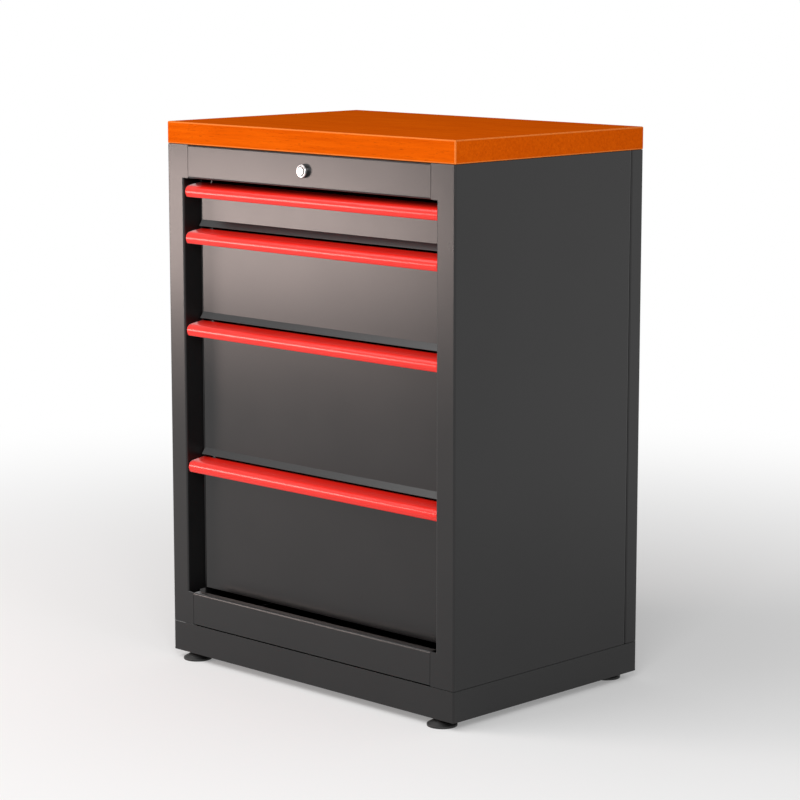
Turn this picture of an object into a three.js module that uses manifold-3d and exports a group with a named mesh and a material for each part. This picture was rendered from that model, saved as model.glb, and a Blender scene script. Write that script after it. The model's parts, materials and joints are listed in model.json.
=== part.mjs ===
// Four-drawer workshop cabinet on levelling feet, with a wooden worktop and a central lock.
// Millimetres, +Z up, drawers opening towards -Y. The origin is on the floor under the middle of the
// whole, lock head included. Left and right are those of a person who stands in front of the drawers.

import * as THREE from 'three';
import { mergeVertices } from 'three/addons/utils/BufferGeometryUtils.js';
import Module from 'manifold-3d';

const wasm = await Module();
wasm.setup();

// Driving dimensions

const cabinet = { width: 680, depth: 458, height: 895 };
const worktop = { thickness: 38, arris: 2.5, arrisSteps: 3 };
const sheet = { thickness: 1.5, bend: 1.5, bendSteps: 3 };
const plinth = { height: 51.5, flange: 24, cornerRadius: 3, cornerSteps: 3, gusset: 74 };
const stile = { width: 40, railLap: 12, returnDepth: 40, hem: 16 };
const rail = { topHeight: 57, flange: 24, sillDepth: 15, earReach: 22, earInsetShare: 0.2 };
const opening = { sill: 110, sillGap: 1.5, headGap: 11 };
const backPanel = { wrap: 30, lip: 15 };
const deck = { upstand: 20 };
const carrier = { rearSpace: 13.7, flange: 16, slotWidth: 3.4, slotHeight: 16, slotInset: 24 };
const drawer = {
  moduleShares: [1, 2, 3, 3],
  gap: 6,
  sideGap: 3,
  rearSpace: 29.2,
  boxLift: 6,
  boxDrop: 10,
  rim: 7,
  frontFlange: 14,
  toeRise: 8,
  toeReach: 9,
  toeBend: 0.2,
};
const handle = {
  thickness: 2,
  bend: 1.5,
  bendSteps: 6,
  endGap: 1,
  endWall: 2,
  drop: 1,
  height: 21,
  mountFlange: 19,
  shoulderFall: 1.5,
  shoulderInset: 5.5,
  shoulderRadius: 6,
  noseFall: 11.5,
  noseRadius: 9,
  lipInset: 4.5,
  lipDepth: 11,
};
const slide = {
  height: 45,
  space: 13,
  thickness: 1.4,
  bend: 0.5,
  bendSteps: 2,
  rise: 4,
  rearInset: 2,
  outerReach: 9.5,
  outerLip: 3.5,
  middleLip: 5.2,
  tabThickness: 2.6,
  tabHeight: 12,
  tabReach: 4,
};
const lock = {
  headRadius: 11.5,
  headLength: 7,
  headEdge: 1.5,
  bodyRadius: 9.2,
  bodyLength: 24,
  plugRadius: 6.5,
  plugProud: 0.8,
  plugLength: 34,
  keySlotWidth: 2.2,
  keySlotHeight: 8,
  keySlotDepth: 4,
  nutAcrossFlats: 24,
  nutThickness: 4,
  tangWidth: 5,
  tangLength: 9,
  segments: 32,
};
const lockRod = {
  radius: 4,
  crank: 10,
  halfTurn: 45,
  armThickness: 4,
  armWidth: 10,
  pinRadius: 3,
  socketRadius: 6.5,
  socketLength: 12,
  bearingWidth: 26,
};
const lockBar = {
  width: 32,
  thickness: 2,
  catchGap: 5,
  rodGap: 2.5,
  bearingGap: 10,
  topGap: 4.5,
  tail: 20,
  pinSlack: 0.6,
};
const hook = { width: 18, thickness: 4, tipThickness: 3, reach: 11, throwGap: 0.6, passGap: 1.5 };
const catchPlate = { width: 30, reach: 12, lip: 16, drop: 2 };
const guide = { width: 46, height: 14, frontWall: 2.5 };
const foot = {
  showing: 14,
  sideInset: 42,
  frontInset: 18,
  rearInset: 30,
  padRadius: 25,
  padRim: 3.5,
  padNeckRadius: 13,
  studRadius: 5,
  studClear: 6.2,
  studSeat: 4,
  hexAcrossFlats: 17,
  hexHeight: 3,
  nutAcrossFlats: 18,
  nutHeight: 10,
  segments: 28,
};

// Clearances

const seat = 0.3;
const seam = 0.7;
const running = 0.35;
const overrun = 1;

// Levels and planes that the pieces share

const halfWidth = cabinet.width / 2;
const front = -cabinet.depth / 2;
const rear = cabinet.depth / 2;
const plinthBase = foot.showing;
const bodyBase = plinthBase + plinth.height + seam;
const bodyTop = plinthBase + cabinet.height;
const moduleCount = drawer.moduleShares.reduce((total, share) => total + share, 0);
const sill = plinthBase + opening.sill;
const head = bodyTop - rail.topHeight;
const stackBase = sill + opening.sillGap;
const stackTop = head - opening.headGap;
const module = (stackTop + drawer.gap - stackBase) / moduleCount;
const halfOpening = halfWidth - stile.width;
const rearEdge = rear - backPanel.wrap - seam;
const drawerFace = front + stile.returnDepth;
const lockLevel = (head + bodyTop) / 2;
const boxFront = drawerFace + sheet.thickness + seat;
const boxRear = rear - drawer.rearSpace;
const barFront = boxRear + catchPlate.reach + lockBar.catchGap;
const swing = THREE.MathUtils.degToRad(lockRod.halfTurn);
const pinReach = lockRod.crank * Math.cos(swing);
const pinDrop = lockRod.crank * Math.sin(swing);
const barTravel = 2 * pinDrop;

// Materials

const finish = (color, roughness, metalness) =>
  new THREE.MeshStandardMaterial({ color, roughness, metalness, flatShading: true });
const blackPaint = finish(0x2b2a2a, 0.45, 0.2);
const redPaint = finish(0xe0241b, 0.3, 0.1);
const orangeWood = finish(0xe8650c, 0.45, 0);
const zincSteel = finish(0xb9bcc0, 0.35, 0.9);
const chrome = finish(0xdadcdf, 0.15, 1);
const blackPlastic = finish(0x161616, 0.6, 0);

// Solids from three.js geometry, and back

function solid(geometry) {
  const bare = geometry.clone();
  bare.deleteAttribute('normal');
  bare.deleteAttribute('uv');
  const merged = mergeVertices(bare);
  const mesh = new wasm.Mesh({
    numProp: 3,
    vertProperties: new Float32Array(merged.attributes.position.array),
    triVerts: new Uint32Array(merged.index.array),
  });
  return new wasm.Manifold(mesh);
}

function geometryOf(shape) {
  const { vertProperties, triVerts } = shape.getMesh();
  const geometry = new THREE.BufferGeometry();
  geometry.setAttribute('position', new THREE.BufferAttribute(new Float32Array(vertProperties), 3));
  geometry.setIndex(new THREE.BufferAttribute(new Uint32Array(triVerts), 1));
  geometry.computeVertexNormals();
  return geometry;
}

function piece(name, material, shape) {
  const mesh = new THREE.Mesh(geometryOf(shape), material);
  mesh.name = name;
  return mesh;
}

// Outlines drawn out along one axis

const axisX = new THREE.Vector3(1, 0, 0);
const axisY = new THREE.Vector3(0, 1, 0);
const axisZ = new THREE.Vector3(0, 0, 1);
const yzPlane = new THREE.Matrix4().makeBasis(axisY, axisZ, axisX);
const xzPlane = new THREE.Matrix4().makeBasis(axisX, axisZ, axisY.clone().negate());

function shapeOf(points) {
  return new THREE.Shape(points.map(([a, b]) => new THREE.Vector2(a, b)));
}

function drawnOut(shape, from, to, plane) {
  const geometry = new THREE.ExtrudeGeometry(shape, { depth: to - from, bevelEnabled: false });
  geometry.translate(0, 0, from);
  if (plane) geometry.applyMatrix4(plane);
  return solid(geometry);
}

const alongX = (shape, from, to) => drawnOut(shape, from, to, yzPlane);
const alongY = (shape, from, to) => drawnOut(shape, -to, -from, xzPlane);
const alongZ = (shape, from, to) => drawnOut(shape, from, to);

function block(rangeX, rangeY, rangeZ) {
  const low = [rangeX, rangeY, rangeZ].map((range) => Math.min(...range));
  const high = [rangeX, rangeY, rangeZ].map((range) => Math.max(...range));
  const geometry = new THREE.BoxGeometry(high[0] - low[0], high[1] - low[1], high[2] - low[2]);
  geometry.translate((high[0] + low[0]) / 2, (high[1] + low[1]) / 2, (high[2] + low[2]) / 2);
  return solid(geometry);
}

// A prism or cylinder that stands on the level `from` and ends at the level `to`.
function post(radius, from, to, sides) {
  const geometry = new THREE.CylinderGeometry(radius, radius, to - from, sides);
  geometry.rotateX(Math.PI / 2);
  geometry.translate(0, 0, (from + to) / 2);
  return solid(geometry);
}

// A prism or cylinder that lies along Y, from the plane `from` to the plane `to`.
function bar(radius, from, to, sides, x = 0, z = 0) {
  const geometry = new THREE.CylinderGeometry(radius, radius, to - from, sides);
  geometry.translate(x, (from + to) / 2, z);
  return solid(geometry);
}

// A profile of radius and place along the axis, turned round the Z axis.
function turned(profile, sides) {
  const geometry = new THREE.LatheGeometry(profile.map(([r, z]) => new THREE.Vector2(r, z)), sides);
  geometry.rotateX(Math.PI / 2);
  return solid(geometry);
}

const hexRadius = (acrossFlats) => acrossFlats / Math.sqrt(3);
const hexSides = 6;

// Folded sheet metal. The route follows one face of the sheet from edge to edge, and the metal lies
// on its left. A corner's third value, where it has one, is the inside radius of that bend.

function foldedSheet(route, gauge = sheet) {
  const points = route.map(([a, b]) => new THREE.Vector2(a, b));
  const heading = (i) => points[i + 1].clone().sub(points[i]).normalize();
  const leftOf = (direction) => new THREE.Vector2(-direction.y, direction.x);
  const face = [];
  const back = [];
  const addEdge = (point, direction) => {
    face.push(point);
    back.push(point.clone().addScaledVector(leftOf(direction), gauge.thickness));
  };
  addEdge(points[0], heading(0));
  for (let i = 1; i < points.length - 1; i += 1) {
    const before = heading(i - 1);
    const after = heading(i);
    const turn = Math.atan2(before.cross(after), before.dot(after));
    const inside = route[i][2] ?? gauge.bend;
    const outside = inside + gauge.thickness;
    const [faceRadius, backRadius] = turn > 0 ? [outside, inside] : [inside, outside];
    const setback = faceRadius * Math.tan(Math.abs(turn) / 2);
    const inwards = leftOf(before).multiplyScalar(Math.sign(turn));
    const centre = points[i].clone().addScaledVector(before, -setback).addScaledVector(inwards, faceRadius);
    const outwards = inwards.clone().negate();
    for (let step = 0; step <= gauge.bendSteps; step += 1) {
      const spoke = outwards.clone().rotateAround(new THREE.Vector2(), (turn * step) / gauge.bendSteps);
      face.push(centre.clone().addScaledVector(spoke, faceRadius));
      back.push(centre.clone().addScaledVector(spoke, backRadius));
    }
  }
  addEdge(points.at(-1), heading(points.length - 2));
  return new THREE.Shape([...face, ...back.reverse()]);
}

// The same route on the other side of the cabinet, run backwards so that the metal stays inside.
function handed(route, side) {
  return side > 0 ? route : route.map(([a, ...rest]) => [-a, ...rest]).reverse();
}

// A folded section drawn out along X to both ends, each end closed by a plate.
function closedProfile(section, end, wall) {
  const outline = section.getPoints();
  const filled = new THREE.Shape(outline.slice(0, outline.length / 2));
  return alongX(section, -end, end)
    .add(alongX(filled, -end, wall - end))
    .add(alongX(filled, end - wall, end));
}

const sides = [
  { name: 'left', sign: -1 },
  { name: 'right', sign: 1 },
];

const atLock = (shape) => shape.translate(0, 0, lockLevel);

// Carcass: outer skin, front rails, carriers for the slides, top and bottom decks

function sidePanel({ name, sign }) {
  const railEnd = halfOpening - stile.railLap;
  const skin = [
    [railEnd, front],
    [halfWidth, front],
    [halfWidth, rearEdge],
    [halfWidth - stile.hem, rearEdge],
  ];
  const jamb = [
    [halfOpening, front + stile.returnDepth],
    [halfOpening, front],
    [halfOpening + stile.width / 2, front],
  ];
  const jambBend = halfOpening + sheet.bend + sheet.thickness;
  const notch = block(
    [sign * (railEnd - overrun), sign * jambBend],
    [front - overrun, front + stile.returnDepth],
    [sill, head],
  );
  const shape = alongZ(foldedSheet(handed(skin, sign)), bodyBase, bodyTop)
    .subtract(notch)
    .add(alongZ(foldedSheet(handed(jamb, sign)), sill, head));
  return piece(`side_panel_${name}`, blackPaint, shape);
}

// A front rail is a channel between the stiles, with an ear behind each stile's flange.
function frontRail(low, high, lowDepth, highDepth) {
  const end = halfOpening - stile.railLap - seam;
  const channel = [
    [front + highDepth, high],
    [front, high],
    [front, low],
    [front + lowDepth, low],
  ];
  const inner = front + sheet.thickness;
  const earRear = inner + 2 * sheet.thickness;
  const earInset = (high - low) * rail.earInsetShare;
  const earLevels = [low + earInset, high - earInset];
  let shape = alongX(foldedSheet(channel), -end, end);
  for (const { sign } of sides) {
    const rootEnds = [sign * (end - rail.earReach), sign * end];
    const earEnds = [sign * (end - rail.earReach), sign * (end + rail.earReach)];
    shape = shape
      .add(block(rootEnds, [inner - sheet.thickness / 2, earRear], earLevels))
      .add(block(earEnds, [inner + seat, earRear], earLevels));
  }
  return shape;
}

function topRail() {
  const hole = bar(lock.bodyRadius + seat, front - overrun, front + rail.flange, lock.segments);
  const shape = frontRail(head, bodyTop, rail.flange, rail.flange).subtract(atLock(hole));
  return piece('top_rail', blackPaint, shape);
}

function bottomRail() {
  return piece('bottom_rail', blackPaint, frontRail(bodyBase, sill, rail.flange, rail.sillDepth));
}

// Each carrier has two columns of slots, one for each end of the slides.
const slideLevel = drawer.boxLift + slide.rise + slide.height / 2;
const carrierRear = rear - carrier.rearSpace;
const slideFront = drawerFace + drawer.frontFlange + seat;
const slideLength = carrierRear - slide.rearInset - slideFront;
const slotPlaces = [drawerFace + carrier.slotInset, carrierRear - carrier.slotInset];
const slotPitch = module / 2;

function carrierPanel({ name, sign }) {
  const frontEdge = drawerFace + seat;
  const channel = [
    [halfOpening + carrier.flange, carrierRear],
    [halfOpening, carrierRear],
    [halfOpening, frontEdge],
    [halfOpening + carrier.flange, frontEdge],
  ];
  const base = bodyBase + sheet.thickness + seat;
  const top = bodyTop - sheet.thickness - seat;
  let shape = alongZ(foldedSheet(handed(channel, sign)), base, top);
  const slotRows = 2 * moduleCount;
  for (const place of slotPlaces) {
    for (let row = 0; row < slotRows; row += 1) {
      const level = stackBase + slideLevel + row * slotPitch;
      const slot = block(
        [sign * (halfOpening - overrun), sign * (halfOpening + sheet.thickness + overrun)],
        [place - carrier.slotWidth / 2, place + carrier.slotWidth / 2],
        [level - carrier.slotHeight / 2, level + carrier.slotHeight / 2],
      );
      shape = shape.subtract(slot);
    }
  }
  return piece(`slide_carrier_${name}`, blackPaint, shape);
}

// The decks are notched round the hems of the side and back panels.
function hemNotch(sign) {
  const inside = halfWidth - Math.max(stile.hem, backPanel.lip) - seam;
  return block(
    [sign * inside, sign * (halfWidth + overrun)],
    [rearEdge - sheet.thickness - seam, rear],
    [plinthBase, bodyTop + overrun],
  );
}

function deckEnds() {
  return [front + rail.flange + seam, rear - sheet.thickness - seat];
}

function bottomDeck() {
  const edge = halfWidth - sheet.thickness - seat;
  const pan = [
    [-edge, bodyBase + deck.upstand],
    [-edge, bodyBase],
    [edge, bodyBase],
    [edge, bodyBase + deck.upstand],
  ];
  const shape = alongY(foldedSheet(pan), ...deckEnds()).subtract(hemNotch(-1)).subtract(hemNotch(1));
  return piece('bottom_panel', blackPaint, shape);
}

function topDeck() {
  const edge = halfWidth - sheet.thickness - seat;
  const pan = [
    [edge, bodyTop - deck.upstand],
    [edge, bodyTop],
    [-edge, bodyTop],
    [-edge, bodyTop - deck.upstand],
  ];
  const bearingRear = barFront - lockBar.bearingGap - lockRod.socketLength - lockRod.armThickness;
  const bearingFront = bearingRear - sheet.thickness;
  const halfBearing = lockRod.bearingWidth / 2;
  const bracket = block(
    [-halfBearing, halfBearing],
    [bearingFront, bearingRear],
    [lockLevel - halfBearing, bodyTop - sheet.thickness / 2],
  );
  const bore = bar(lockRod.radius + seat, bearingFront - overrun, bearingRear + overrun, lock.segments);
  const shape = alongY(foldedSheet(pan), ...deckEnds())
    .subtract(hemNotch(-1))
    .subtract(hemNotch(1))
    .add(bracket)
    .subtract(atLock(bore));
  return piece('top_panel', blackPaint, shape);
}

// The back wraps round the sides, and its inner face carries the two guides of the lock bar.
function backSheet() {
  const wrapEdge = rear - backPanel.wrap;
  const skin = [
    [halfWidth - backPanel.lip, wrapEdge],
    [halfWidth, wrapEdge],
    [halfWidth, rear],
    [-halfWidth, rear],
    [-halfWidth, wrapEdge],
    [-halfWidth + backPanel.lip, wrapEdge],
  ];
  let shape = alongZ(foldedSheet(skin), bodyBase, bodyTop);
  for (const level of guideLevels) {
    const levels = [level - guide.height / 2, level + guide.height / 2];
    const depths = [barFront - guide.frontWall, rear - sheet.thickness / 2];
    const body = block([-guide.width / 2, guide.width / 2], depths, levels);
    const channel = block(
      [-lockBar.width / 2 - seat, lockBar.width / 2 + seat],
      [barFront - seat, barFront + lockBar.thickness + seat],
      [levels[0] - overrun, levels[1] + overrun],
    );
    shape = shape.add(body.subtract(channel));
  }
  return piece('back_panel', blackPaint, shape);
}

// Plinth: a folded ring with a gusset and a weld nut for each foot

const footPlaces = sides.flatMap(({ name, sign }) => [
  { name: `front_${name}`, x: sign * (halfWidth - foot.sideInset), y: front + foot.frontInset },
  { name: `rear_${name}`, x: sign * (halfWidth - foot.sideInset), y: rear - foot.rearInset },
]);

// The plinth's outline from above, every wall of it drawn in by `inset`.
function plinthOutline(inset) {
  const { cornerRadius, cornerSteps } = plinth;
  const x = halfWidth - inset - cornerRadius;
  const y = rear - inset - cornerRadius;
  const centres = [[x, y], [-x, y], [-x, -y], [x, -y]];
  const points = centres.flatMap(([centreX, centreY], quarter) =>
    Array.from({ length: cornerSteps + 1 }, (_, step) => {
      const angle = (quarter + step / cornerSteps) * (Math.PI / 2);
      return [centreX + cornerRadius * Math.cos(angle), centreY + cornerRadius * Math.sin(angle)];
    }),
  );
  return shapeOf(points);
}

function plinthRing() {
  const top = plinthBase + plinth.height;
  const wall = sheet.thickness;
  const gussetTop = plinthBase + 2 * wall;
  const nutTop = gussetTop + foot.nutHeight;
  let shape = alongZ(plinthOutline(0), plinthBase, top)
    .subtract(alongZ(plinthOutline(wall), plinthBase + wall, top - wall))
    .subtract(alongZ(plinthOutline(plinth.flange), plinthBase - overrun, top + overrun));
  for (const { x, y } of footPlaces) {
    const cornerX = Math.sign(x) * (halfWidth - wall / 2);
    const cornerY = Math.sign(y) * (rear - wall / 2);
    const gusset = block(
      [cornerX, cornerX - Math.sign(x) * plinth.gusset],
      [cornerY, cornerY - Math.sign(y) * plinth.gusset],
      [plinthBase, gussetTop],
    );
    const nut = post(hexRadius(foot.nutAcrossFlats), plinthBase + wall, nutTop, hexSides);
    const bore = post(foot.studRadius + seat, plinthBase - overrun, nutTop + overrun, foot.segments);
    shape = shape.add(gusset).add(nut.translate(x, y, 0)).subtract(bore.translate(x, y, 0));
  }
  return piece('plinth_frame', blackPaint, shape);
}

// The pad turns freely on the round end of its stud, under the stud's hexagon.
function levellingFoot({ name, x, y }) {
  const hexTop = foot.showing - seat;
  const hexBase = hexTop - foot.hexHeight;
  const padTop = hexBase - seat;
  const studTop = bodyBase - foot.studClear;
  const pad = turned(
    [
      [0, 0],
      [foot.padRadius, 0],
      [foot.padRadius, foot.padRim],
      [foot.padNeckRadius + foot.padRim, padTop - foot.padRim],
      [foot.padNeckRadius, padTop],
      [foot.studRadius + seat, padTop],
      [foot.studRadius + seat, foot.studSeat],
      [0, foot.studSeat],
    ],
    foot.segments,
  );
  const stud = post(foot.studRadius, foot.studSeat + seat, studTop, foot.segments)
    .add(post(hexRadius(foot.hexAcrossFlats), hexBase, hexTop, hexSides));
  const group = new THREE.Group();
  group.position.set(x, y, 0);
  group.add(piece(`foot_pad_${name}`, blackPlastic, pad));
  group.add(piece(`foot_stud_${name}`, zincSteel, stud));
  return group;
}

// Worktop: a solid board with eased edges

function board() {
  const outline = shapeOf([
    [-halfWidth, front],
    [halfWidth, front],
    [halfWidth, rear],
    [-halfWidth, rear],
  ]);
  const geometry = new THREE.ExtrudeGeometry(outline, {
    depth: worktop.thickness - 2 * worktop.arris,
    bevelThickness: worktop.arris,
    bevelSize: worktop.arris,
    bevelOffset: -worktop.arris,
    bevelSegments: worktop.arrisSteps,
  });
  geometry.translate(0, 0, bodyTop + seat + worktop.arris);
  return piece('worktop', orangeWood, solid(geometry));
}

// Drawers, counted from the top. Each is built with its bottom edge at zero and then lifted to its place.

const drawers = drawer.moduleShares.map((share, index) => {
  const above = drawer.moduleShares.slice(0, index + 1).reduce((total, each) => total + each, 0);
  return {
    number: index + 1,
    base: stackBase + (moduleCount - above) * module,
    height: share * module - drawer.gap,
  };
});
const boxTop = (height) => height - drawer.boxDrop;
const catchLevel = (height) => boxTop(height) - catchPlate.drop;

// The low edge of a drawer front leans forward to a toe, over the grip of the next drawer.
function drawerFront(number, height) {
  const flangeRear = drawerFace + drawer.frontFlange;
  const panel = foldedSheet([
    [flangeRear, height],
    [drawerFace, height],
    [drawerFace, drawer.toeRise],
    [drawerFace - drawer.toeReach, 0, drawer.toeBend],
    [flangeRear, 0],
  ]);
  const shape = closedProfile(panel, halfOpening - drawer.sideGap, sheet.thickness);
  return piece(`drawer_front_${number}`, blackPaint, shape);
}

// The grip is a rolled profile: a flange on the drawer front, a falling top, a round nose and a
// turned-in lip that leaves room for the fingers behind it.
function drawerHandle(number, height) {
  const back = drawerFace - seat;
  const top = height - handle.drop;
  const lipLevel = top - handle.height;
  const grip = foldedSheet(
    [
      [back, top - handle.mountFlange],
      [back, top],
      [front + handle.shoulderInset, top - handle.shoulderFall, handle.shoulderRadius],
      [front, top - handle.noseFall, handle.noseRadius],
      [front + handle.lipInset, lipLevel],
      [front + handle.lipInset + handle.lipDepth, lipLevel],
    ],
    handle,
  );
  const shape = closedProfile(grip, halfOpening - handle.endGap, handle.endWall);
  return piece(`drawer_handle_${number}`, redPaint, shape);
}

// The tray has a turned-in rim, and a catch for the central lock on its back wall.
function drawerBox(number, height) {
  const wall = sheet.thickness;
  const halfBox = halfOpening - slide.space;
  const top = boxTop(height);
  const tray = block([-halfBox, halfBox], [boxFront, boxRear], [drawer.boxLift, top]);
  const cavity = block(
    [-halfBox + wall, halfBox - wall],
    [boxFront + wall, boxRear - wall],
    [drawer.boxLift + wall, top - wall],
  );
  const mouth = block(
    [-halfBox + drawer.rim, halfBox - drawer.rim],
    [boxFront + drawer.rim, boxRear - drawer.rim],
    [drawer.boxLift + wall, top + overrun],
  );
  const catchTop = catchLevel(height);
  const catchBend = [
    [boxRear + catchPlate.reach, catchTop - catchPlate.lip],
    [boxRear + catchPlate.reach, catchTop],
    [boxRear - wall / 2, catchTop],
  ];
  const lockCatch = alongX(foldedSheet(catchBend), -catchPlate.width / 2, catchPlate.width / 2);
  return piece(`drawer_box_${number}`, blackPaint, tray.subtract(cavity).subtract(mouth).add(lockCatch));
}

// Telescopic slides: three nested members on each side of a drawer. A section is written as the
// distance from the carrier and the height from the middle of the slide.

const memberWall = slide.thickness;
const middleWeb = seat + memberWall + running;
const middleTop = slide.height / 2 - memberWall - running;
const middleReach = slide.outerReach - memberWall - running;
const middleLipEnd = middleTop - slide.middleLip;
const innerHook = middleWeb + memberWall + running;
const innerTop = middleTop - memberWall - running;
const innerFlange = middleLipEnd - running - memberWall;
const innerWeb = slide.space - seat - memberWall;

const memberRoutes = {
  outer: channelRoute(seat, slide.height / 2, slide.outerReach, slide.height / 2 - slide.outerLip),
  middle: channelRoute(middleWeb, middleTop, middleReach, middleLipEnd),
  inner: [
    [innerHook, innerTop],
    [innerHook, innerFlange],
    [innerWeb, innerFlange],
    [innerWeb, -innerFlange],
    [innerHook, -innerFlange],
    [innerHook, -innerTop],
  ],
};

function channelRoute(web, top, reach, lipEnd) {
  return [
    [reach, lipEnd],
    [reach, top],
    [web, top],
    [web, -top],
    [reach, -top],
    [reach, -lipEnd],
  ];
}

function slideMember(kind, sign, length) {
  const route = memberRoutes[kind].map(([inset, level]) => [inset - halfOpening, level]);
  return alongY(foldedSheet(handed(route, -sign), slide), slideFront, slideFront + length);
}

function outerMember(sign) {
  let shape = slideMember('outer', sign, slideLength);
  for (const place of slotPlaces) {
    const tab = block(
      [sign * (halfOpening + slide.tabReach), sign * (halfOpening - seat - memberWall / 2)],
      [place - slide.tabThickness / 2, place + slide.tabThickness / 2],
      [-slide.tabHeight / 2, slide.tabHeight / 2],
    );
    shape = shape.add(tab);
  }
  return shape;
}

function slidePair(number) {
  const group = new THREE.Group();
  group.position.z = slideLevel;
  for (const { name, sign } of sides) {
    const members = {
      outer: outerMember(sign),
      middle: slideMember('middle', sign, slideLength),
      inner: slideMember('inner', sign, boxRear - slideFront),
    };
    for (const [kind, member] of Object.entries(members)) {
      group.add(piece(`slide_${kind}_${number}_${name}`, zincSteel, member));
    }
  }
  return group;
}

function drawerUnit({ number, base, height }) {
  const group = new THREE.Group();
  group.position.z = base;
  group.add(drawerFront(number, height));
  group.add(drawerHandle(number, height));
  group.add(drawerBox(number, height));
  group.add(slidePair(number));
  return group;
}

// Central lock: a cylinder in the top rail turns a long rod, whose crank lifts the bar at the back.
// The bar's hooks then stand behind the lips of the catches. At rest the lock is open.

function lockBarrel() {
  const bore = lock.plugRadius + seat;
  const profile = [
    [bore, 0],
    [lock.bodyRadius, 0],
    [lock.bodyRadius, lock.bodyLength],
    [lock.headRadius, lock.bodyLength],
    [lock.headRadius, lock.bodyLength + lock.headLength - lock.headEdge],
    [lock.headRadius - lock.headEdge, lock.bodyLength + lock.headLength],
    [bore, lock.bodyLength + lock.headLength],
    [bore, 0],
  ];
  const geometry = new THREE.LatheGeometry(profile.map(([r, y]) => new THREE.Vector2(r, y)), lock.segments);
  geometry.rotateZ(Math.PI);
  geometry.translate(0, front - seat + lock.bodyLength, 0);
  return piece('lock_barrel', chrome, atLock(solid(geometry)));
}

function lockNut() {
  const nutFront = front + sheet.thickness + seat;
  const nutRear = nutFront + lock.nutThickness;
  const shape = bar(hexRadius(lock.nutAcrossFlats), nutFront, nutRear, hexSides)
    .subtract(bar(lock.bodyRadius + seat, nutFront - overrun, nutRear + overrun, lock.segments));
  return piece('lock_nut', zincSteel, atLock(shape));
}

const plugFront = front - seat - lock.headLength - lock.plugProud;
const plugRear = plugFront + lock.plugLength;

function lockPlug() {
  const keyway = block(
    [-lock.keySlotWidth / 2, lock.keySlotWidth / 2],
    [plugFront - overrun, plugFront + lock.keySlotDepth],
    [-lock.keySlotHeight / 2, lock.keySlotHeight / 2],
  );
  const halfTang = lock.tangWidth / 2;
  const tang = block(
    [-halfTang, halfTang],
    [plugRear - overrun, plugRear + lock.tangLength],
    [-halfTang, halfTang],
  );
  const shape = bar(lock.plugRadius, plugFront, plugRear, lock.segments).subtract(keyway).add(tang);
  return piece('lock_plug', chrome, atLock(shape));
}

function lockCrankRod() {
  const socketFront = plugRear + seat;
  const socketEnd = socketFront + lockRod.socketLength;
  const armRear = barFront - lockBar.rodGap;
  const armFront = armRear - lockRod.armThickness;
  const halfSocket = lock.tangWidth / 2 + seat;
  const hollow = block(
    [-halfSocket, halfSocket],
    [socketFront - overrun, plugRear + lock.tangLength + seat],
    [-halfSocket, halfSocket],
  );
  const halfArm = lockRod.armWidth / 2;
  const arm = block([-halfArm, halfArm], [armFront, armRear], [-lockRod.crank, 0])
    .add(bar(halfArm, armFront, armRear, lock.segments))
    .add(bar(halfArm, armFront, armRear, lock.segments, 0, -lockRod.crank))
    .rotate(0, lockRod.halfTurn, 0);
  const pinEnd = barFront + lockBar.thickness + lockRod.pinRadius;
  const shape = bar(lockRod.radius, socketEnd - overrun, armRear, lock.segments)
    .add(bar(lockRod.socketRadius, socketFront, socketEnd, lock.segments))
    .subtract(hollow)
    .add(arm)
    .add(bar(lockRod.pinRadius, armFront, pinEnd, lock.segments, -pinReach, -pinDrop));
  return piece('lock_rod', zincSteel, atLock(shape));
}

function hookLevels({ base, height }) {
  const lipBottom = base + catchLevel(height) - catchPlate.lip;
  const tipTop = lipBottom - hook.passGap;
  const armTop = lipBottom - hook.throwGap - barTravel;
  return { tipTop, armTop, armBottom: armTop - hook.thickness };
}

const lowestHook = hookLevels(drawers.at(-1)).armBottom;
const guideLevels = [
  drawers[0].base - drawer.gap / 2 - guide.height,
  drawers.at(-1).base + drawer.boxLift + guide.height,
];

function lockingBar() {
  const barBottom = Math.min(lowestHook, guideLevels[1] - guide.height) - lockBar.tail;
  const barTop = bodyTop - sheet.thickness - barTravel - lockBar.topGap;
  const barRear = barFront + lockBar.thickness;
  const halfBar = lockBar.width / 2;
  let shape = block([-halfBar, halfBar], [barFront, barRear], [barBottom, barTop]);
  const tipFront = barFront - hook.reach;
  const root = barFront + lockBar.thickness / 2;
  for (const each of drawers) {
    const { tipTop, armTop, armBottom } = hookLevels(each);
    const outline = shapeOf([
      [root, armBottom],
      [root, armTop],
      [tipFront + hook.tipThickness, armTop],
      [tipFront + hook.tipThickness, tipTop],
      [tipFront, tipTop],
      [tipFront, armBottom],
    ]);
    shape = shape.add(alongX(outline, -hook.width / 2, hook.width / 2));
  }
  const halfSlot = lockRod.pinRadius + lockBar.pinSlack;
  const pinLevel = lockLevel - pinDrop;
  const slot = block(
    [-lockRod.crank - halfSlot, -pinReach + halfSlot],
    [barFront - overrun, barRear + overrun],
    [pinLevel - halfSlot, pinLevel + halfSlot],
  );
  return piece('lock_bar', zincSteel, shape.subtract(slot));
}

// The whole cabinet

const group = new THREE.Group();
group.position.y = -(plugFront + rear) / 2;
group.add(plinthRing(), bottomDeck(), topDeck(), topRail(), bottomRail(), backSheet(), board());
for (const side of sides) group.add(sidePanel(side), carrierPanel(side));
for (const each of drawers) group.add(drawerUnit(each));
group.add(lockBarrel(), lockNut(), lockPlug(), lockCrankRod(), lockingBar());
for (const place of footPlaces) group.add(levellingFoot(place));

export default group;
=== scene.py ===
"""Looks of a four-drawer workshop cabinet with a wooden worktop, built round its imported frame."""

import json
import math

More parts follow.
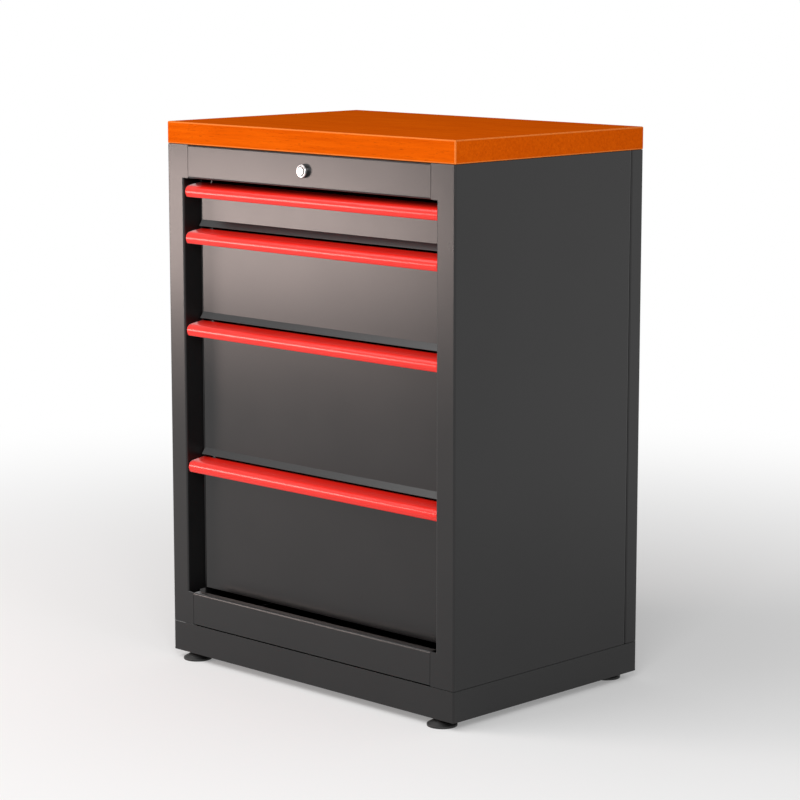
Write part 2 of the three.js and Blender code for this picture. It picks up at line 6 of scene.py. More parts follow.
import bpy
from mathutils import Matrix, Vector


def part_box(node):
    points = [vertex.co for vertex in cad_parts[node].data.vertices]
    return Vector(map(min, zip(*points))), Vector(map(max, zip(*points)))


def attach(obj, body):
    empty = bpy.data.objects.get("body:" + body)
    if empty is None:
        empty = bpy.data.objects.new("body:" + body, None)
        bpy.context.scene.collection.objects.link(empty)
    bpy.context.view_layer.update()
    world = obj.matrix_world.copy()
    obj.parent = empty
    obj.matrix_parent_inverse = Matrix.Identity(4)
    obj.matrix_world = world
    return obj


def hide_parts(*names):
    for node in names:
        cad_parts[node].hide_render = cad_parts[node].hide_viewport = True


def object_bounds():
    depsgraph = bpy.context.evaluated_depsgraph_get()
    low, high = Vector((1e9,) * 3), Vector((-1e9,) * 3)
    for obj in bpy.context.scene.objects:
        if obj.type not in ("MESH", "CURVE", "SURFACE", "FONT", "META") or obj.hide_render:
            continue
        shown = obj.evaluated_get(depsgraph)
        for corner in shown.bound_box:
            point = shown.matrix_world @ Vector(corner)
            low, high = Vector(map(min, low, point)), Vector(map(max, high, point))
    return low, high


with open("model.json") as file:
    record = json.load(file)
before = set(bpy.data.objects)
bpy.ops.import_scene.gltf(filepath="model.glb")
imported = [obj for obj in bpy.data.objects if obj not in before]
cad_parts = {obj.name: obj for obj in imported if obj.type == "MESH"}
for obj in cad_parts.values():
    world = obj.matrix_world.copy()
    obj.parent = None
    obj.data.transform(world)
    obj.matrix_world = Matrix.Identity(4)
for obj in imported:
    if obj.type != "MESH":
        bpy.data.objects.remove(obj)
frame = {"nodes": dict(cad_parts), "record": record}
cad_low, cad_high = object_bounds()

MM = 0.001
CLOSE = 0.01 * MM
LONG = 100 * MM
DRAWERS = range(1, 5)
CORNERS = ("front_left", "front_right", "rear_left", "rear_right")

# Materials


class Recipe:
    """A material's shader nodes, added one by one around its main shader."""

    def __init__(self, name, **settings):
        self.material = bpy.data.materials.new(name)
        self.material.use_nodes = True
        self.nodes = self.material.node_tree.nodes
        self.shader = self.nodes["Principled BSDF"]
        for socket, value in settings.items():
            self.shader.inputs[socket.replace("_", " ")].default_value = value
        self.place = self.add("ShaderNodeTexCoord").outputs["Object"]

    def add(self, kind, settings=None, **inputs):
        node = self.nodes.new(kind)
        for key, value in (settings or {}).items():
            setattr(node, key, value)
        for socket, value in inputs.items():
            self.feed(node.inputs[socket.replace("_", " ")], value)
        return node

    def feed(self, socket, value):
        if isinstance(value, bpy.types.NodeSocket):
            self.material.node_tree.links.new(value, socket)
        else:
            socket.default_value = value

    def paint(self, socket, value):
        self.feed(self.shader.inputs[socket], value)

    def stretched(self, scale, turn=(0, 0, 0)):
        """Object coordinates with another scale along each axis."""
        mapping = self.add("ShaderNodeMapping", Vector=self.place)
        mapping.inputs["Scale"].default_value = scale
        mapping.inputs["Rotation"].default_value = turn
        return mapping.outputs["Vector"]

    def noise(self, vector, scale, detail=4.0, roughness=0.55):
        node = self.add(
            "ShaderNodeTexNoise", Vector=vector, Scale=scale, Detail=detail, Roughness=roughness
        )
        return node.outputs["Fac"]

    def ramp(self, value, stops):
        """Colours or greys blended between the given places."""
        node = self.add("ShaderNodeValToRGB", Fac=value)
        elements = node.color_ramp.elements
        while len(elements) < len(stops):
            elements.new(0.5)
        for element, (place, colour) in zip(elements, stops):
            element.position = place
            element.color = colour if isinstance(colour, tuple) else (colour, colour, colour, 1)
        return node.outputs["Color"]

    def spread(self, value, low, high):
        """A value from 0 to 1, spread between two others."""
        return self.add("ShaderNodeMapRange", Value=value, To_Min=low, To_Max=high).outputs["Result"]

    def mix(self, factor, first, second, blend="MIX"):
        node = self.add("ShaderNodeMix", {"data_type": "RGBA", "blend_type": blend})
        self.feed(node.inputs["Factor"], factor)
        self.feed(node.inputs[6], first)
        self.feed(node.inputs[7], second)
        return node.outputs[2]

    def bump(self, height, strength, distance):
        """Small relief, laid over what is already there."""
        node = self.add("ShaderNodeBump", Height=height, Strength=strength, Distance=distance)
        under = self.shader.inputs["Normal"]
        if under.is_linked:
            self.feed(node.inputs["Normal"], under.links[0].from_socket)
        self.paint("Normal", node.outputs["Normal"])


def powder_coat(name, colour, lift, roughness, grain, shine):
    """Baked powder coat: fine orange-peel relief, and a gloss that drifts a little over large areas."""
    coat = Recipe(name, Specular_IOR_Level=shine)
    drift = coat.noise(coat.place, 5.0)
    peel = coat.noise(coat.place, 700.0, detail=2.0)
    coat.paint("Base Color", coat.ramp(drift, [(0.35, colour), (0.65, lift)]))
    coat.paint("Roughness", coat.spread(drift, roughness - 0.04, roughness + 0.04))
    coat.bump(peel, grain, 0.2 * MM)
    return coat.material


STAVE_WIDTH = 46 * MM
STAVE_LENGTH = 420 * MM
SEAM_WIDTH = 0.25 * MM
DARK_FIGURE = (0.53, 0.067, 0.0008, 1)
MIDDLE_FIGURE = (0.67, 0.097, 0.0015, 1)
PALE_FIGURE = (0.77, 0.131, 0.003, 1)
STAVE_TINT = (0.58, 0.073, 0.001, 1)
CLOUD_TINT = (0.74, 0.113, 0.002, 1)
FLECK_TINT = (0.32, 0.035, 0.001, 1)
SEAM_TINT = (0.40, 0.05, 0.001, 1)
# Pale orange for the rounded arrises of the worktop, a painted highlight along its edges
ARRIS_HIGHLIGHT_TINT = (1.0, 0.36, 0.09, 1)


def stained_board(name, end_grain=False, arris_highlight_share=0.0):
    """Orange-stained board of glued staves, with long grain along X and short dark flecks; a share of pale
    orange can be mixed over it as a painted highlight.
    """
    wood = Recipe(name, Specular_IOR_Level=0.0)
    if end_grain:
        along, fleck_space = wood.stretched((60, 60, 60)), wood.stretched((300, 300, 300))
    else:
        along, fleck_space = wood.stretched((1.6, 34, 34)), wood.stretched((22, 300, 300))
    figure = wood.noise(along, 4.0, detail=7.0, roughness=0.65)
    fleck = wood.noise(fleck_space, 3.0, detail=2.0)
    cloud = wood.noise(wood.place, 9.0, detail=2.0)
    turn = (0, math.radians(90), 0) if end_grain else (0, 0, 0)
    staves = wood.add(
        "ShaderNodeTexBrick",
        {"offset": 0.37},
        Vector=wood.stretched((1, 1, 1), turn),
        Color1=(0.0, 0.0, 0.0, 1),
        Color2=(1.0, 1.0, 1.0, 1),
        Mortar=(0.5, 0.5, 0.5, 1),
        Scale=1.0,
        Brick_Width=STAVE_LENGTH,
        Row_Height=STAVE_WIDTH,
        Mortar_Size=SEAM_WIDTH,
        Mortar_Smooth=0.5,
    )
    tone = wood.ramp(figure, [(0.28, DARK_FIGURE), (0.5, MIDDLE_FIGURE), (0.74, PALE_FIGURE)])
    blocks = wood.mix(wood.spread(staves.outputs["Color"], 0.0, 0.22), tone, STAVE_TINT)
    clouded = wood.mix(wood.spread(cloud, 0.0, 0.3), blocks, CLOUD_TINT)
    flecks = wood.ramp(fleck, [(0.30, 1.0), (0.37, 0.0)])
    flecked = wood.mix(wood.spread(flecks, 0.0, 0.55), clouded, FLECK_TINT)
    seams = wood.mix(wood.spread(staves.outputs["Fac"], 0.0, 0.35), flecked, SEAM_TINT)
    # The pale orange mixed in here is a painted highlight, used on the arris faces
    wood.paint("Base Color", wood.mix(arris_highlight_share, seams, ARRIS_HIGHLIGHT_TINT))
    wood.paint("Roughness", wood.spread(figure, 0.5, 0.62))
    wood.bump(figure, 0.10, 0.4 * MM)
    wood.bump(fleck, 0.12, 0.2 * MM)
    return wood.material


def zinc_plate(name):
    """Bright zinc on cold-rolled steel: faint rolling lines and a slightly cloudy gloss."""
    zinc = Recipe(name, Metallic=1.0)
    rolling = zinc.noise(zinc.stretched((300, 4, 300)), 3.0, detail=3.0)
    cloud = zinc.noise(zinc.place, 40.0)
    dull, bright = (0.50, 0.51, 0.53, 1), (0.64, 0.65, 0.66, 1)
    zinc.paint("Base Color", zinc.ramp(cloud, [(0.3, dull), (0.7, bright)]))
    zinc.paint("Roughness", zinc.spread(rolling, 0.24, 0.40))
    zinc.bump(rolling, 0.08, 0.1 * MM)
    return zinc.material


def polished_chrome(name):
    """Dark chrome plate with a faint haze."""
    chrome = Recipe(name, Metallic=1.0)
    haze = chrome.noise(chrome.place, 160.0)
    dull, bright = (0.34, 0.34, 0.35, 1), (0.42, 0.42, 0.42, 1)
    chrome.paint("Base Color", chrome.ramp(haze, [(0.3, dull), (0.7, bright)]))
    chrome.paint("Roughness", chrome.spread(haze, 0.16, 0.26))
    return chrome.material


def moulded_plastic(name):
    """Black injection-moulded plastic with a fine spark-eroded texture."""
    plastic = Recipe(name)
    grit = plastic.noise(plastic.place, 1500.0, detail=2.0)
    cloud = plastic.noise(plastic.place, 60.0)
    dark, pale = (0.010, 0.010, 0.010, 1), (0.018, 0.018, 0.018, 1)
    plastic.paint("Base Color", plastic.ramp(cloud, [(0.3, dark), (0.7, pale)]))
    plastic.paint("Roughness", plastic.spread(cloud, 0.5, 0.62))
    plastic.bump(grit, 0.25, 0.2 * MM)
    return plastic.material


black_coat = powder_coat(
    "black_powder_coat",
    colour=(0.0055, 0.0053, 0.0055, 1),
    lift=(0.0070, 0.0068, 0.0070, 1),
    roughness=0.29,
    grain=0.10,
    shine=0.42,
)
red_coat = powder_coat(
    "red_powder_coat",
    colour=(0.84, 0.018, 0.010, 1),
    lift=(0.89, 0.022, 0.013, 1),
    roughness=0.24,
    grain=0.05,
    shine=0.36,
)
board_face = stained_board("orange_stained_board")
board_end = stained_board("orange_end_grain", end_grain=True)
# The arris board is the paler board, a painted highlight on the rounded edges
board_arris = stained_board("orange_arris_painted_highlight", arris_highlight_share=0.4)
bright_zinc = zinc_plate("bright_zinc")
bright_chrome = polished_chrome("bright_chrome")
black_plastic = moulded_plastic("black_moulded_plastic")

SLOT_FINISH = {
    "black_paint": black_coat,
    "red_paint": red_coat,
    "orange_wood": board_face,
    "zinc_steel": bright_zinc,
    "chrome": bright_chrome,
    "black_plastic": black_plastic,
}

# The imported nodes: finishes, and softened edges

node_slot = {row["node"]: row["material_slot"] for row in frame["record"]["subparts"]}


def soften_edges(piece, width, segments=2, angle=50):
    """Welds a piece's loose triangles and rounds its edges that are sharper than an angle in degrees."""
    weld = piece.modifiers.new("weld", "WELD")
    weld.merge_threshold = CLOSE
    bevel = piece.modifiers.new("bevel", "BEVEL")
    bevel.width = width
    bevel.segments = segments
    bevel.limit_method = "ANGLE"
    bevel.angle_limit = math.radians(angle)
    bevel.harden_normals = True


SHEET_EDGE = 0.3 * MM
OTHER_EDGE = {"plinth_frame": 0.8 * MM, "bottom_rail": 0.12 * MM}

for name, node in frame["nodes"].items():
    node.data.materials.clear()
    node.data.materials.append(SLOT_FINISH[node_slot[name]])
    soften_edges(node, OTHER_EDGE.get(name, SHEET_EDGE))

# The drawer faces shine up to their left edge, so the left jamb stays out of reflections
frame["nodes"]["side_panel_left"].visible_glossy = False

# Modelling tools


def let_go():
    """Leaves edit mode and deselects everything."""
    if bpy.context.object and bpy.context.object.mode == "EDIT":
        bpy.ops.object.mode_set(mode="OBJECT")
    bpy.ops.object.select_all(action="DESELECT")


def alone(piece):
    """Selects one piece and makes it the active one."""
    let_go()
    piece.select_set(True)
    bpy.context.view_layer.objects.active = piece


def settled(name):
    """Names the new primitive and puts its place into its mesh."""
    piece = bpy.context.object
    piece.name = name
    bpy.ops.object.transform_apply(location=True, rotation=True, scale=True)
    return piece


def block(name, low, high):
    """A box between two corners."""
    let_go()
    bpy.ops.mesh.primitive_cube_add(size=1, location=(low + high) / 2, scale=high - low)
    return settled(name)


MODES = {"vertices": (True, False, False), "edges": (False, True, False), "faces": (False, False, True)}


def pick(piece, kind, wanted):
    """Opens a piece in edit mode with the wanted vertices, edges or faces selected."""
    alone(piece)
    mesh = piece.data
    for group in (mesh.vertices, mesh.edges, mesh.polygons):
        group.foreach_set("select", [False] * len(group))
    points = [vertex.co for vertex in mesh.vertices]
    if kind == "vertices":
        for vertex in mesh.vertices:
            vertex.select = wanted(vertex.co)
    elif kind == "edges":
        for edge in mesh.edges:
            edge.select = wanted(*(points[end] for end in edge.vertices))
    else:
        for face in mesh.polygons:
            face.select = wanted(face.center, face.normal)
    bpy.context.tool_settings.mesh_select_mode = MODES[kind]
    bpy.ops.object.mode_set(mode="EDIT")


def applied(piece, kind, **settings):
    """Adds a modifier and applies it at once."""
    alone(piece)
    modifier = piece.modifiers.new(kind.lower(), kind)
    for key, value in settings.items():
        setattr(modifier, key, value)
    bpy.ops.object.modifier_apply(modifier=modifier.name)


def smoothed(piece, degrees):
    """Shades the edges below an angle smooth, and lets the large faces look flat."""
    alone(piece)
    bpy.ops.object.shade_smooth_by_angle(angle=math.radians(degrees))
    applied(piece, "WEIGHTED_NORMAL", keep_sharp=True)


def given(piece, *materials):
    """Gives a piece its materials, of which the first covers all of it."""
    for material in materials:
        piece.data.materials.append(material)


def painted(piece, material):
    """Puts one of a piece's materials on its selected faces."""
    piece.active_material_index = piece.data.materials.find(material.name)
    bpy.ops.object.material_slot_assign()


def joined_to(piece, body, slot, *nodes):
    """Rides a finished piece on its body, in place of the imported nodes."""
    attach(piece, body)
    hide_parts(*nodes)


def copied(piece, name, shift):
    """A copy with its own mesh, moved by the given way."""
    twin = piece.copy()
    twin.data = piece.data.copy()
    twin.name = name
    bpy.context.scene.collection.objects.link(twin)
    alone(twin)
    twin.location = shift
    bpy.ops.object.transform_apply(location=True, rotation=False, scale=False)
    return twin


def at_level(value, axis, level):
    """Whether a point lies at a level of an axis."""
    return abs(value[axis] - level) < CLOSE


def along_x(a, b):
    """Whether an edge runs the whole length of a piece."""
    return abs(a.x - b.x) > LONG and at_level(a, 1, b.y) and at_level(a, 2, b.z)


def nudge(piece, wanted, y=0, z=0):
    """Moves the wanted points of a piece."""
    pick(piece, "vertices", wanted)
    bpy.ops.transform.translate(value=(0, y, z))


def cut(axis, level):
    """Cuts the selected faces at a level of an axis."""
    spot, along = [0, 0, 0], [0, 0, 0]
    spot[axis], along[axis] = level, 1
    bpy.ops.mesh.bisect(plane_co=spot, plane_no=along)


def ringed(piece, axis, level):
    """Cuts a ring of edges round a piece, at right angles to an axis."""
    pick(piece, "faces", lambda centre, normal: True)
    cut(axis, level)


def rounded(piece, wanted, radius, steps):
    """Rounds the wanted edges."""
    pick(piece, "edges", wanted)
    bpy.ops.mesh.bevel(offset=radius, segments=steps, affect="EDGES")


def rounded_fold(piece, y, z, radius, steps):
    """Rounds the long edge at a place across a piece."""
    rounded(piece, lambda a, b: along_x(a, b) and at_level(a, 1, y) and at_level(a, 2, z), radius, steps)


def rounded_rim(piece, y, radius, steps):
    """Rounds the rim of a turned piece's end."""
    rounded(piece, lambda a, b: at_level(a, 1, y) and at_level(b, 1, y), radius, steps)


def pull(way):
    """Extrudes what is selected."""
    bpy.ops.mesh.extrude_region_move(TRANSFORM_OT_translate={"value": way})


def turned(name, middle, radius, start, end, axis, sides=64):
    """A round bar between two levels of the Y or Z axis."""
    let_go()
    place = list(middle)
    place[axis] = (start + end) / 2
    turn = (math.radians(90), 0, 0) if axis == 1 else (0, 0, 0)
    bpy.ops.mesh.primitive_cylinder_add(
        vertices=sides, radius=radius, depth=end - start, location=place, rotation=turn
    )
    return settled(name)


def cap(piece, axis, level):
    """Opens a piece in edit mode with the faces selected that close it at a level."""
    pick(piece, "faces", lambda centre, normal: abs(normal[axis]) > 0.99 and at_level(centre, axis, level))


# Worktop board, with eased edges all round and end grain on both ends

BOARD_EDGE = 2.2 * MM


def worktop_board():
    low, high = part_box("worktop")
    board = block("worktop_board", low, high)
    given(board, board_face, board_arris, board_end)
    pick(board, "faces", lambda centre, normal: abs(normal.x) > 0.9)
    painted(board, board_end)
    pick(board, "edges", lambda a, b: True)
    arris = board.data.materials.find(board_arris.name)
    # The bevel faces take the paler board, a painted highlight along every edge
    bpy.ops.mesh.bevel(offset=BOARD_EDGE, segments=4, affect="EDGES", material=arris)
    smoothed(board, 35)
    joined_to(board, "cabinet", "orange_wood", "worktop")


# Grips: a falling top, a round nose, a lip below it, closed ends, and a hollow for the fingers

GRIP = {
    "rise": 3.0 * MM,
    "shoulder_fall": 5.0 * MM,
    "shoulder_inset": 5.0 * MM,
    "shoulder_round": 4.2 * MM,
    "nose_level": 10.0 * MM,
    "nose_round": 5.4 * MM,
    "lip_inset": 4.0 * MM,
    "lip_round": 1.5 * MM,
    "lip_depth": 14.0 * MM,
    "undercut": 4.0 * MM,
    "wall": 1.6 * MM,
    "end_round": 1.2 * MM,
}


def rolled_grip():
    """The top drawer's grip."""
    low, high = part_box("drawer_handle_1")
    top, nose, face = high.z + GRIP["rise"], low.z + GRIP["nose_level"], low.y
    behind_lip = face + GRIP["lip_depth"]
    grip = block("grip_1", low, Vector((high.x, high.y, top)))
    given(grip, red_coat)
    ringed(grip, 2, nose)
    ringed(grip, 1, behind_lip)

    # The top falls from its rear edge to the shoulder, and the lip stands behind the nose
    fall, inset = GRIP["shoulder_fall"], GRIP["shoulder_inset"]
    middle_fall = fall * (1 - GRIP["lip_depth"] / (high.y - face))
    nudge(grip, lambda at: at_level(at, 1, behind_lip) and at.z > top - CLOSE, z=-middle_fall)
    nudge(grip, lambda at: at_level(at, 1, face) and at.z > top - CLOSE, y=inset, z=-fall)
    nudge(grip, lambda at: at_level(at, 1, face) and at.z < low.z + CLOSE, y=GRIP["lip_inset"])
    rounded_fold(grip, face + inset, top - fall, GRIP["shoulder_round"], 6)
    rounded_fold(grip, face, nose, GRIP["nose_round"], 8)
    rounded_fold(grip, face + GRIP["lip_inset"], low.z, GRIP["lip_round"], 3)

    # Each end becomes one face, so that only its outline is rounded
    pick(grip, "faces", lambda centre, normal: abs(normal.x) > 0.99)
    bpy.ops.mesh.dissolve_limited(angle_limit=math.radians(1))
    rounded(grip, lambda a, b: min(abs(a.x), abs(b.x)) > high.x - CLOSE, GRIP["end_round"], 3)

    # A hollow behind the lip, which widens upwards
    ceiling = top - fall - GRIP["wall"]
    hollow_front = behind_lip + 2 * GRIP["wall"]
    pick(grip, "faces", lambda centre, normal: normal.z < -0.99 and centre.y > behind_lip)
    bpy.ops.mesh.inset(thickness=GRIP["wall"])
    pull((0, 0, ceiling - low.z))
    nudge(grip, lambda at: at_level(at, 2, ceiling) and at.y < hollow_front, y=-GRIP["undercut"])
    smoothed(grip, 40)
    return grip


def grips():
    """One grip for each drawer, copied from the top one."""
    # The top grip is joined before it is copied
    first = rolled_grip()
    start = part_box("drawer_handle_1")[0].z
    for number in DRAWERS:
        drop = Vector((0, 0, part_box(f"drawer_handle_{number}")[0].z - start))
        grip = first if number == 1 else copied(first, f"grip_{number}", drop)
        joined_to(grip, f"drawer_{number}", "red_paint", f"drawer_handle_{number}")


# Drawer faces: a folded sheet, with its lowest strip set forward on all but the lowest drawer

FACE = {
    "setback": 40.0 * MM,
    "strip": 11.0 * MM,
    "strip_reach": 8.0 * MM,
    "bend": 1.2 * MM,
    "sheet": 1.4 * MM,
}


def drawer_face(number):
    low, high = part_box(f"drawer_front_{number}")
    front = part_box("plinth_frame")[0].y + FACE["setback"]
    reach = 0 if number == DRAWERS[-1] else FACE["strip_reach"]
    foot = front - reach
    face = block(f"drawer_face_{number}", Vector((low.x, front, low.z)), high)
    given(face, black_coat)
    ringed(face, 2, low.z + FACE["strip"])
    nudge(face, lambda at: at_level(at, 1, front) and at.z < low.z + CLOSE, y=-reach)
    pick(face, "faces", lambda centre, normal: normal.y > 0.99)
    bpy.ops.mesh.delete(type="FACE")
    rounded_fold(face, foot, low.z, FACE["bend"], 3)
    rounded_fold(face, front, high.z, FACE["bend"], 3)
    applied(face, "SOLIDIFY", thickness=FACE["sheet"], offset=-1, use_even_offset=True)
    smoothed(face, 30)
    joined_to(face, f"drawer_{number}", "black_paint", f"drawer_front_{number}")


# Central lock: a chrome head with a dished face, and a plug with a key slot

LOCK = {
    "head": 7.0 * MM,
    "head_round": 1.8 * MM,
    "rim": 1.1 * MM,
    "sink": 0.6 * MM,
    "dish": 0.8 * MM,
    "bore": 6.65 * MM,
    "bore_depth": 20.0 * MM,
    "body": 9.2 * MM,
    "plug": 6.5 * MM,
    "plug_round": 0.5 * MM,
    "slot_width": 2.2 * MM,
    "slot_height": 8.0 * MM,
    "slot_depth": 4.0 * MM,
}


def lock_head():
    low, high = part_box("lock_barrel")
    radius, collar = (high.x - low.x) / 2, low.y + LOCK["head"]
    head = turned("lock_head", (low + high) / 2, radius, low.y, collar, 1)
    given(head, bright_chrome)
    rounded_rim(head, low.y, LOCK["head_round"], 4)
    cap(head, 1, low.y)
    bpy.ops.mesh.inset(thickness=LOCK["rim"])
    pull((0, LOCK["sink"], 0))
    cap(head, 1, low.y + LOCK["sink"])
    ring = radius - LOCK["head_round"] - LOCK["rim"] - LOCK["bore"]
    bpy.ops.mesh.inset(thickness=ring, depth=-LOCK["dish"])
    pull((0, LOCK["bore_depth"], 0))
    cap(head, 1, collar)
    bpy.ops.mesh.inset(thickness=radius - LOCK["body"])
    pull((0, high.y - collar, 0))
    smoothed(head, 30)
    soften_edges(head, 0.2 * MM)
    joined_to(head, "cabinet", "chrome", "lock_barrel")


def key_plug():
    low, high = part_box("lock_plug")
    middle = (low + high) / 2
    plug = turned("lock_key_plug", middle, LOCK["plug"], low.y, high.y, 1, 48)
    given(plug, bright_chrome, black_plastic)
    rounded_rim(plug, low.y, LOCK["plug_round"], 3)

    # Four cuts across the end face outline the key slot
    half_slot = {0: LOCK["slot_width"] / 2, 2: LOCK["slot_height"] / 2}
    for axis, half in half_slot.items():
        for side in (-1, 1):
            cap(plug, 1, low.y)
            cut(axis, middle[axis] + side * half)

    def in_slot(centre, normal):
        inside = all(abs(centre[axis] - middle[axis]) < half for axis, half in half_slot.items())
        return inside and at_level(centre, 1, low.y)

    pick(plug, "faces", in_slot)
    pull((0, LOCK["slot_depth"], 0))
    # The slot's faces take the black plastic finish, a painted shade for the dark keyway
    painted(plug, black_plastic)
    smoothed(plug, 30)
    joined_to(plug, "lock_cylinder", "chrome", "lock_plug")


# Levelling feet: a cone with a hollow sole, and a screw with a hexagon above it

FOOT = {
    "rim": 3.5 * MM,
    "neck": 13.0 * MM,
    "edge": 0.5 * MM,
    "sole_rim": 3.0 * MM,
    "sole_hollow": 1.6 * MM,
    "socket": 7.0 * MM,
    "socket_depth": 1.2 * MM,
    "hexagon": 17.0 * MM,
    "hexagon_start": 10.7 * MM,
    "hexagon_height": 3.0 * MM,
    "hexagon_edge": 0.4 * MM,
    "stud": 5.0 * MM,
    "pitch": 1.5 * MM,
    "groove": 0.6 * MM,
}


def foot_cone(corner):
    low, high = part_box(f"foot_pad_{corner}")
    radius, shoulder = (high.x - low.x) / 2, low.z + FOOT["rim"]
    cone = turned(f"foot_cone_{corner}", (low + high) / 2, radius, low.z, shoulder, 2)
    given(cone, black_plastic)
    cap(cone, 2, shoulder)
    bpy.ops.mesh.inset(thickness=radius - FOOT["neck"], depth=high.z - shoulder)
    bpy.ops.mesh.inset(thickness=FOOT["neck"] - FOOT["socket"])
    pull((0, 0, -FOOT["socket_depth"]))
    cap(cone, 2, low.z)
    bpy.ops.mesh.inset(thickness=FOOT["sole_rim"])
    pull((0, 0, FOOT["sole_hollow"]))
    smoothed(cone, 25)
    soften_edges(cone, FOOT["edge"], 3, 20)
    return cone


def ridged_stud(name, middle, start, plain_end, end):
    """A round stud, plain at its lower end and with ridges above it."""
    stud = turned(name, middle, FOOT["stud"], start, plain_end, 2, 32)
    cap(stud, 2, plain_end)
    level = plain_end
    narrow = 1 - FOOT["groove"] / FOOT["stud"]
    while level + FOOT["pitch"] < end:
        for share in (narrow, 1 / narrow):
            pull((0, 0, FOOT["pitch"] / 2))
            level += FOOT["pitch"] / 2
            axis_point = (middle.x, middle.y, level)
            bpy.ops.transform.resize(value=(share, share, 1), center_override=axis_point)
    bpy.ops.mesh.inset(thickness=FOOT["groove"], depth=end - level)
    return stud


def foot_screw(corner):
    low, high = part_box(f"foot_stud_{corner}")
    middle = (low + high) / 2
    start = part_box(f"foot_pad_{corner}")[0].z + FOOT["hexagon_start"]
    top = start + FOOT["hexagon_height"]
    corner_radius = FOOT["hexagon"] / 2 / math.cos(math.radians(30))
    hexagon = turned("hexagon", middle, corner_radius, start, top, 2, 6)
    rounded(hexagon, lambda a, b: at_level(a, 2, b.z), FOOT["hexagon_edge"], 2)
    screw = ridged_stud(f"foot_screw_{corner}", middle, low.z, top, high.z)
    given(screw, bright_zinc)
    alone(screw)
    hexagon.select_set(True)
    bpy.ops.object.join()
    smoothed(screw, 30)
    return screw


def feet():
    """One cone and one screw for each corner, copied from the first corner's."""
    first = CORNERS[0]
    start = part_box(f"foot_pad_{first}")[0]
    cones, screws = {first: foot_cone(first)}, {first: foot_screw(first)}
    for corner in CORNERS[1:]:
        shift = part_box(f"foot_pad_{corner}")[0] - start
        cones[corner] = copied(cones[first], f"foot_cone_{corner}", shift)
        screws[corner] = copied(screws[first], f"foot_screw_{corner}", shift)

    # Joined after the copying
    for corner in CORNERS:
        joined_to(cones[corner], f"foot_{corner}", "black_plastic", f"foot_pad_{corner}")
        joined_to(screws[corner], f"foot_{corner}", "zinc_steel", f"foot_stud_{corner}")


worktop_board()
grips()
for number in DRAWERS:
    drawer_face(number)
lock_head()
key_plug()
feet()

# Stage, lamps and camera

CAMERA_PLACE = (3.191, -3.260, 1.237)
CAMERA_LENS = 121
SENSOR = 36
FLOOR_SIZE = 60
FLOOR_FADE = (0.5, 2.6)
WHITE_NEAR_FEET = 0.25
SKY_LIGHT = 0.34


def white_to_camera(recipe, share):
    """Mixes plain white into a surface, for the rays that see the background."""
    path = recipe.add("ShaderNodeLightPath")
    seen = recipe.add("ShaderNodeMath", {"operation": "MAXIMUM"})
    recipe.feed(seen.inputs[0], path.outputs["Is Camera Ray"])
    recipe.feed(seen.inputs[1], path.outputs["Is Glossy Ray"])
    through = recipe.add("ShaderNodeMath", {"operation": "MAXIMUM"})
    recipe.feed(through.inputs[0], seen.outputs[0])
    recipe.feed(through.inputs[1], path.outputs["Is Transmission Ray"])
    amount = recipe.add("ShaderNodeMath", {"operation": "MULTIPLY"})
    recipe.feed(amount.inputs[0], through.outputs[0])
    recipe.feed(amount.inputs[1], share)
    white = recipe.add("ShaderNodeEmission", Color=(1, 1, 1, 1))
    blend = recipe.add("ShaderNodeMixShader", Fac=amount.outputs[0])
    recipe.feed(blend.inputs[1], recipe.shader.outputs[0])
    recipe.feed(blend.inputs[2], white.outputs[0])
    recipe.feed(recipe.nodes["Material Output"].inputs["Surface"], blend.outputs[0])


def pale_floor():
    """A floor that turns plain white away from the cabinet."""
    let_go()
    bpy.ops.mesh.primitive_plane_add(size=FLOOR_SIZE, location=(0, 0, 0))
    floor = settled("floor")
    surface = Recipe("pale_floor", Base_Color=(0.9, 0.9, 0.9, 1), Roughness=0.9, Specular_IOR_Level=0.0)
    away = surface.add("ShaderNodeVectorMath", {"operation": "LENGTH"}, Vector=surface.place)
    fade = surface.add(
        "ShaderNodeMapRange",
        {"interpolation_type": "SMOOTHSTEP"},
        Value=away.outputs["Value"],
        From_Min=FLOOR_FADE[0],
        From_Max=FLOOR_FADE[1],
        To_Min=WHITE_NEAR_FEET,
        To_Max=1.0,
    )
    white_to_camera(surface, fade.outputs["Result"])
    given(floor, surface.material)


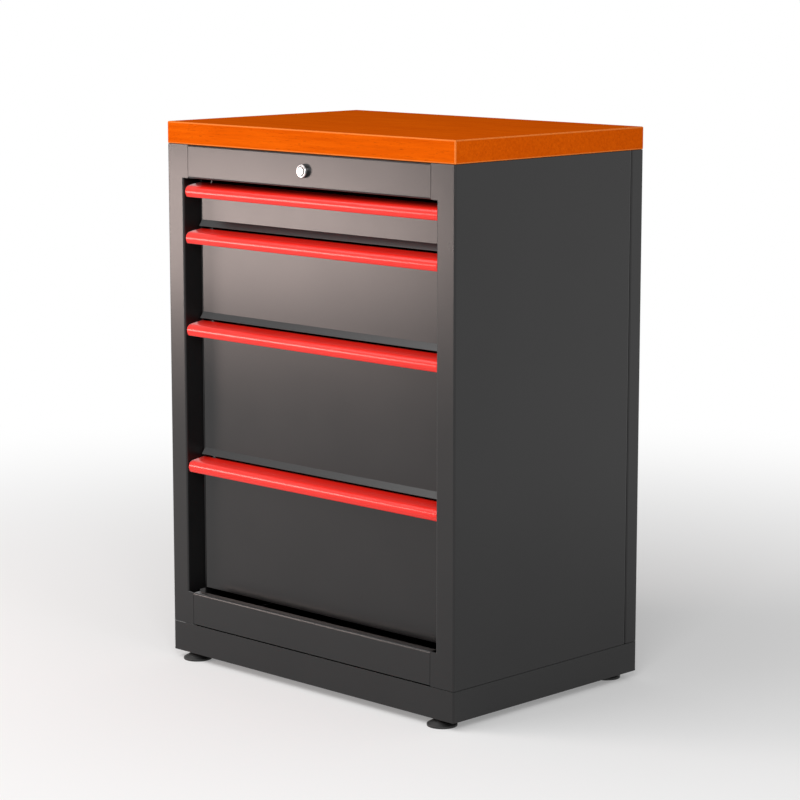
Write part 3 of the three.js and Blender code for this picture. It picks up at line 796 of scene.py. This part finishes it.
def pale_world():
    """A soft light all round, seen as plain white."""
    world = bpy.data.worlds.new("pale_world")
    bpy.context.scene.world = world
    world.use_nodes = True
    nodes, links = world.node_tree.nodes, world.node_tree.links
    background = nodes["Background"]
    background.inputs["Color"].default_value = (1, 1, 1, 1)
    path = nodes.new("ShaderNodeLightPath")
    seen = path.outputs["Is Camera Ray"]
    for ray in ("Is Glossy Ray", "Is Transmission Ray"):
        either = nodes.new("ShaderNodeMath")
        either.operation = "MAXIMUM"
        links.new(seen, either.inputs[0])
        links.new(path.outputs[ray], either.inputs[1])
        seen = either.outputs[0]
    level = nodes.new("ShaderNodeMapRange")
    level.inputs["To Min"].default_value = SKY_LIGHT
    level.inputs["To Max"].default_value = 1.0
    links.new(seen, level.inputs["Value"])
    links.new(level.outputs["Result"], background.inputs["Strength"])


def soft_lamp(name, place, aim, size, power, colour=(1, 1, 1)):
    lamp = bpy.data.lights.new(name, "AREA")
    lamp.shape = "RECTANGLE"
    lamp.size, lamp.size_y = size
    lamp.energy = power
    lamp.color = colour
    holder = bpy.data.objects.new(name, lamp)
    bpy.context.scene.collection.objects.link(holder)
    holder.visible_camera = False
    holder.location = place
    holder.rotation_euler = (Vector(aim) - Vector(place)).to_track_quat("-Z", "Y").to_euler()


def photo_camera():
    """The camera where it stood for the photo, aimed at the middle of the cabinet."""
    camera = bpy.data.objects.new("camera", bpy.data.cameras.new("camera"))
    bpy.context.scene.collection.objects.link(camera)
    bpy.context.scene.camera = camera
    camera.data.sensor_width = SENSOR
    camera.data.lens = CAMERA_LENS
    camera.location = CAMERA_PLACE
    centre = (cad_low + cad_high) / 2
    camera.rotation_euler = (centre - Vector(CAMERA_PLACE)).to_track_quat("-Z", "Y").to_euler()


bpy.context.scene.view_settings.view_transform = "Standard"
pale_floor()
pale_world()
soft_lamp(
    "left",
    place=(-1.74, -1.63, 0.59),
    aim=(-1.472, -0.6665, 0.63),
    size=(1.06, 0.34),
    power=19,
    colour=(1.0, 0.80, 0.74),
)
soft_lamp("front", place=(1.9, -2.2, 1.9), aim=(0, 0, 0.5), size=(1.4, 1.0), power=36)
soft_lamp("top", place=(-1.0, -1.9, 2.7), aim=(0, 0, 0.6), size=(2.4, 1.8), power=42)
soft_lamp("right", place=(3.2, -0.6, 1.4), aim=(0, 0, 0.5), size=(1.2, 2.0), power=12)
photo_camera()
